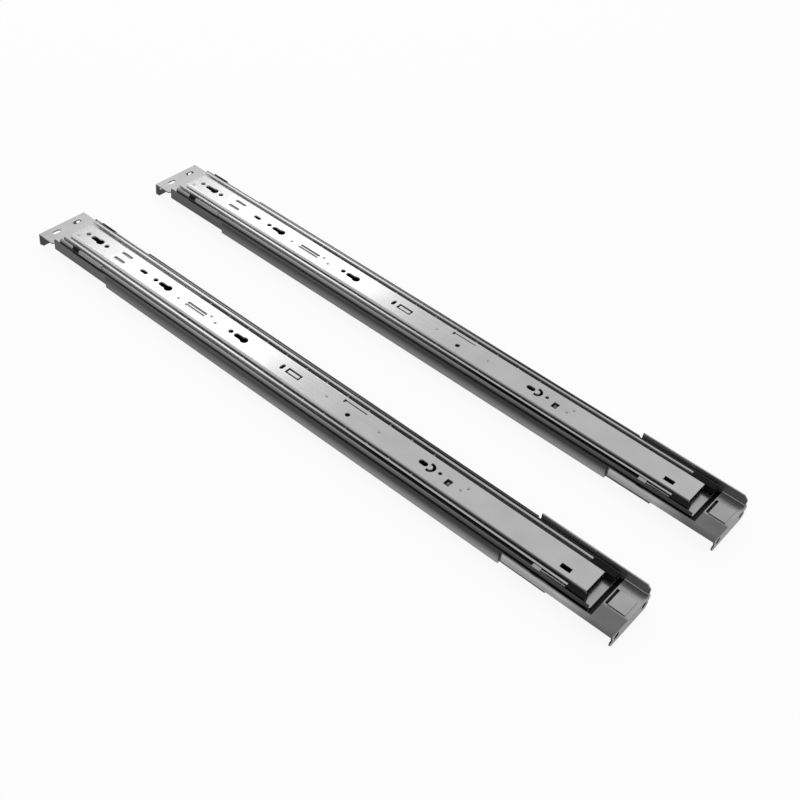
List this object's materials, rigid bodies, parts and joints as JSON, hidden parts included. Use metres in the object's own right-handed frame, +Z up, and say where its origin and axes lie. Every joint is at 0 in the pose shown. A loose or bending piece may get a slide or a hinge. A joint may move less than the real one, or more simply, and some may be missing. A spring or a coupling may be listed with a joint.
{
  "type": "server rack slide rails",
  "caption": "Pair of three-section ball bearing server slides with front and depth-adjustable rear rack flanges, shown closed and lying flat.",
  "frame": {"origin": "centre of the pair's footprint, on the surface that the flange tips stand on", "axes": "+X along the rails from the front flanges to the rear flanges, +Y across the pair, +Z up from the flange tips to the face that takes the chassis"},
  "size_m": [0.5456, 0.157, 0.02],
  "materials": {
    "face_steel": "bright zinc plated, satin",
    "slide_steel": "bright zinc plated, rolled",
    "side_steel": "zinc plated sheet",
    "bracket_steel": "zinc plated sheet, satin",
    "rivet_steel": "zinc plated",
    "screw_zinc": "zinc plated",
    "cage_steel": "plain rolled strip",
    "ball_steel": "polished bearing balls",
    "spring_steel": "tempered strip",
    "black_plastic": "black moulded nylon"
  },
  "bodies": {
    "rack_side": {"near_front_bracket": "bracket_steel", "near_base_channel": "side_steel", "near_support_channel": "side_steel", "near_outer_member": "slide_steel", "near_channel_rivets": "rivet_steel", "near_front_rivets": "rivet_steel", "near_depth_screws": "screw_zinc", "near_depth_washers": "screw_zinc", "near_front_catch": "black_plastic", "near_front_guide": "black_plastic", "near_front_ribs": "spring_steel", "far_front_bracket": "bracket_steel", "far_base_channel": "side_steel", "far_support_channel": "side_steel", "far_outer_member": "slide_steel", "far_channel_rivets": "rivet_steel", "far_front_rivets": "rivet_steel", "far_depth_screws": "screw_zinc", "far_depth_washers": "screw_zinc", "far_front_catch": "black_plastic", "far_front_guide": "black_plastic", "far_front_ribs": "spring_steel"},
    "near_rear": {"near_rear_bracket": "bracket_steel", "near_rear_ribs": "spring_steel"},
    "near_middle": {"near_middle_member": "slide_steel", "near_rear_buffers": "black_plastic", "near_detent_pin": "rivet_steel"},
    "near_detent": {"near_detent_lever": "spring_steel"},
    "near_outer_cage": {"near_outer_ball_cages": "cage_steel", "near_outer_balls": "ball_steel"},
    "near_inner_cage": {"near_inner_ball_cage": "cage_steel", "near_inner_balls": "ball_steel"},
    "near_inner": {"near_inner_member": "face_steel", "near_release_rivet": "rivet_steel"},
    "near_release": {"near_release_lever": "spring_steel"},
    "far_rear": {"far_rear_bracket": "bracket_steel", "far_rear_ribs": "spring_steel"},
    "far_middle": {"far_middle_member": "slide_steel", "far_rear_buffers": "black_plastic", "far_detent_pin": "rivet_steel"},
    "far_detent": {"far_detent_lever": "spring_steel"},
    "far_outer_cage": {"far_outer_ball_cages": "cage_steel", "far_outer_balls": "ball_steel"},
    "far_inner_cage": {"far_inner_ball_cage": "cage_steel", "far_inner_balls": "ball_steel"},
    "far_inner": {"far_inner_member": "face_steel", "far_release_rivet": "rivet_steel"},
    "far_release": {"far_release_lever": "spring_steel"}
  },
  "joints": [
    {"name": "near_middle_slide", "type": "slide", "parent": "rack_side", "child": "near_middle", "axis": [-1, 0, 0], "range_m": [0, 0.24]},
    {"name": "near_outer_cage_slide", "type": "slide", "parent": "rack_side", "child": "near_outer_cage", "axis": [-1, 0, 0], "range_m": [0, 0.12]},
    {"name": "near_inner_slide", "type": "slide", "parent": "near_middle", "child": "near_inner", "axis": [-1, 0, 0], "range_m": [0, 0.24]},
    {"name": "near_inner_cage_slide", "type": "slide", "parent": "near_middle", "child": "near_inner_cage", "axis": [-1, 0, 0], "range_m": [0, 0.12]},
    {"name": "near_depth_slide", "type": "slide", "parent": "rack_side", "child": "near_rear", "axis": [1, 0, 0], "range_m": [0, 0.1]},
    {"name": "near_detent_rock", "type": "hinge", "parent": "near_middle", "child": "near_detent", "pos_m": [0.2217, -0.0726, 0.0174], "axis": [0, 1, 0], "range_deg": [0, 3]},
    {"name": "near_release_swing", "type": "hinge", "parent": "near_inner", "child": "near_release", "pos_m": [0.0462, -0.0508, 0.0183], "axis": [0, 0, 1], "range_deg": [0, 4]},
    {"name": "far_middle_slide", "type": "slide", "parent": "rack_side", "child": "far_middle", "axis": [-1, 0, 0], "range_m": [0, 0.24]},
    {"name": "far_outer_cage_slide", "type": "slide", "parent": "rack_side", "child": "far_outer_cage", "axis": [-1, 0, 0], "range_m": [0, 0.12]},
    {"name": "far_inner_slide", "type": "slide", "parent": "far_middle", "child": "far_inner", "axis": [-1, 0, 0], "range_m": [0, 0.24]},
    {"name": "far_inner_cage_slide", "type": "slide", "parent": "far_middle", "child": "far_inner_cage", "axis": [-1, 0, 0], "range_m": [0, 0.12]},
    {"name": "far_depth_slide", "type": "slide", "parent": "rack_side", "child": "far_rear", "axis": [1, 0, 0], "range_m": [0, 0.1]},
    {"name": "far_detent_rock", "type": "hinge", "parent": "far_middle", "child": "far_detent", "pos_m": [0.2293, 0.0404, 0.0174], "axis": [0, 1, 0], "range_deg": [0, 3]},
    {"name": "far_release_swing", "type": "hinge", "parent": "far_inner", "child": "far_release", "pos_m": [0.0538, 0.0622, 0.0183], "axis": [0, 0, 1], "range_deg": [0, 4]}
  ],
  "couplings": [
    {"joint": "near_outer_cage_slide", "follows": "near_middle_slide", "ratio": 0.5},
    {"joint": "near_inner_cage_slide", "follows": "near_inner_slide", "ratio": 0.5},
    {"joint": "far_outer_cage_slide", "follows": "far_middle_slide", "ratio": 0.5},
    {"joint": "far_inner_cage_slide", "follows": "far_inner_slide", "ratio": 0.5}
  ]
}
